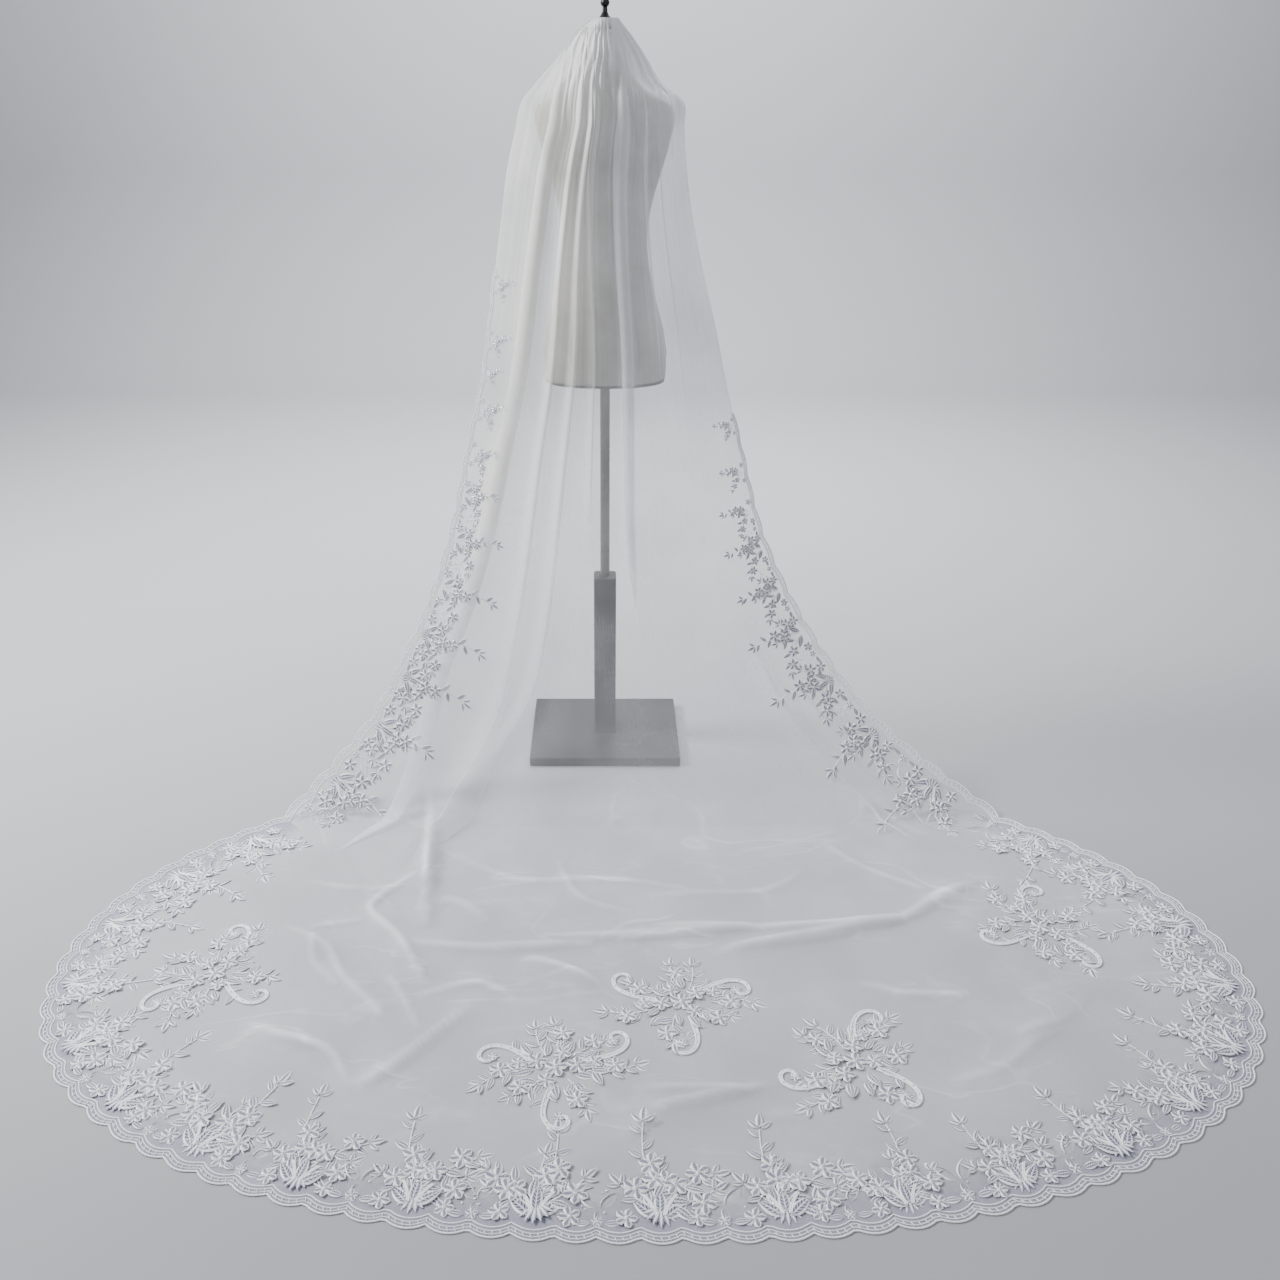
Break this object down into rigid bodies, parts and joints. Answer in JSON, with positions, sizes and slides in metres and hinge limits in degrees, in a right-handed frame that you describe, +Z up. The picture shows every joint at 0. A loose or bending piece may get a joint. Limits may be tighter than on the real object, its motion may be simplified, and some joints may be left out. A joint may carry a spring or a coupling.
{
  "type": "bridal veil on a dress form",
  "caption": "Long sheer bridal veil with scalloped lace borders and sewn-on motifs, draped over the back of a limbless dress form with its train spread on the floor.",
  "frame": {"origin": "on the floor, at the foot of the stand's pole, on the underside of the base plate", "axes": "+Z up, +X to the right as the back of the form is looked at, -Y the way the train runs out, so +Y is the front of the form"},
  "size_m": [2.424, 1.758, 1.8089],
  "materials": {
    "tulle": "sheer soft net",
    "lace": "corded lace",
    "form_cloth": "matt jersey",
    "board": "matt",
    "steel": "satin",
    "painted": "satin",
    "black": "satin",
    "comb": "clear"
  },
  "bodies": {
    "root": {"base_plate": "painted", "post_sleeve": "painted", "sleeve_collar": "painted", "pole": "steel", "bottom_board": "board", "torso": "form_cloth", "neck_cap": "black", "finial": "black", "comb": "comb", "tulle_drop_left": "tulle", "tulle_drop_middle": "tulle", "tulle_drop_right": "tulle", "tulle_train": "tulle", "lace_side_left": "lace", "lace_side_right": "lace", "lace_hem": "lace", "motif_1": "lace", "motif_2": "lace", "motif_3": "lace", "motif_4": "lace", "motif_5": "lace"}
  },
  "joints": []
}
